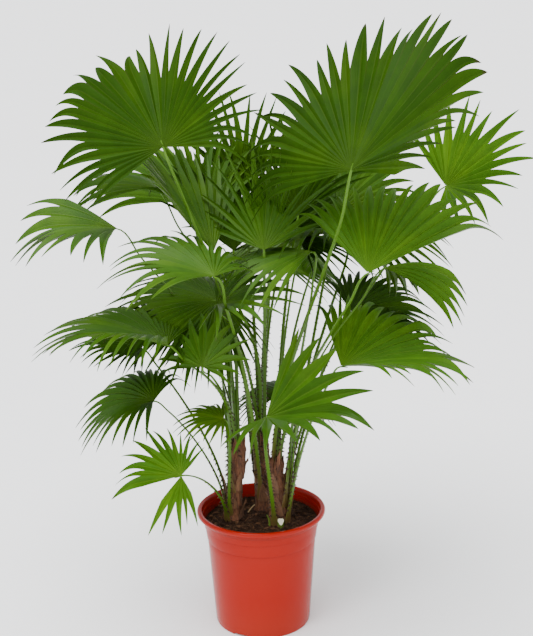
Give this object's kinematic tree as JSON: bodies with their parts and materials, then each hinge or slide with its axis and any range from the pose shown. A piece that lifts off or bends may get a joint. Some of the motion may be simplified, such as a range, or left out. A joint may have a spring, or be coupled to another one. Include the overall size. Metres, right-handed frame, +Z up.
{
  "type": "potted footstool palm",
  "caption": "Clumping fan palm with pleated, deeply cut round leaves on long thorny petioles, rising from short fibrous stems in a tapered plastic nursery pot filled with soil.",
  "frame": {"origin": "centre of the pot's flat underside, where the pot stands on the floor", "axes": "+Z up along the pot's axis; the pictured side faces -Y, with +X to the viewer's right"},
  "size_m": [0.8933, 0.8708, 1.1165],
  "materials": {
    "pot": "satin",
    "soil": "matte",
    "stem": "matte",
    "stub": "matte",
    "petiole": "satin",
    "blade": "satin"
  },
  "bodies": {
    "root": {"pot": "pot", "soil": "soil", "stem_left": "stem", "stem_middle": "stem", "stem_right": "stem", "cut_stub": "stub", "petiole_back_left": "petiole", "petiole_back_low": "petiole", "petiole_back_middle": "petiole", "petiole_back_right": "petiole", "petiole_back_top": "petiole", "petiole_crown_left": "petiole", "petiole_crown_right": "petiole", "petiole_crown_under": "petiole", "petiole_dark_left": "petiole", "petiole_flat_right": "petiole", "petiole_left_high": "petiole", "petiole_left_long": "petiole", "petiole_left_low": "petiole", "petiole_left_mid": "petiole", "petiole_low_centre": "petiole", "petiole_low_left": "petiole", "petiole_mid_left": "petiole", "petiole_right_dark": "petiole", "petiole_right_drape": "petiole", "petiole_right_high": "petiole", "petiole_right_low": "petiole", "petiole_right_mid": "petiole", "petiole_small_low": "petiole", "petiole_spear_left": "petiole", "petiole_spear_mid": "petiole", "petiole_top_back": "petiole", "petiole_under_left": "petiole", "blade_back_left": "blade", "blade_back_low": "blade", "blade_back_middle": "blade", "blade_back_right": "blade", "blade_back_top": "blade", "blade_crown_left": "blade", "blade_crown_right": "blade", "blade_crown_under": "blade", "blade_dark_left": "blade", "blade_flat_right": "blade", "blade_left_high": "blade", "blade_left_long": "blade", "blade_left_low": "blade", "blade_left_mid": "blade", "blade_low_centre": "blade", "blade_low_left": "blade", "blade_mid_left": "blade", "blade_right_dark": "blade", "blade_right_drape": "blade", "blade_right_high": "blade", "blade_right_low": "blade", "blade_right_mid": "blade", "blade_small_low": "blade", "blade_spear_left": "blade", "blade_spear_mid": "blade", "blade_top_back": "blade", "blade_under_left": "blade"}
  },
  "joints": []
}
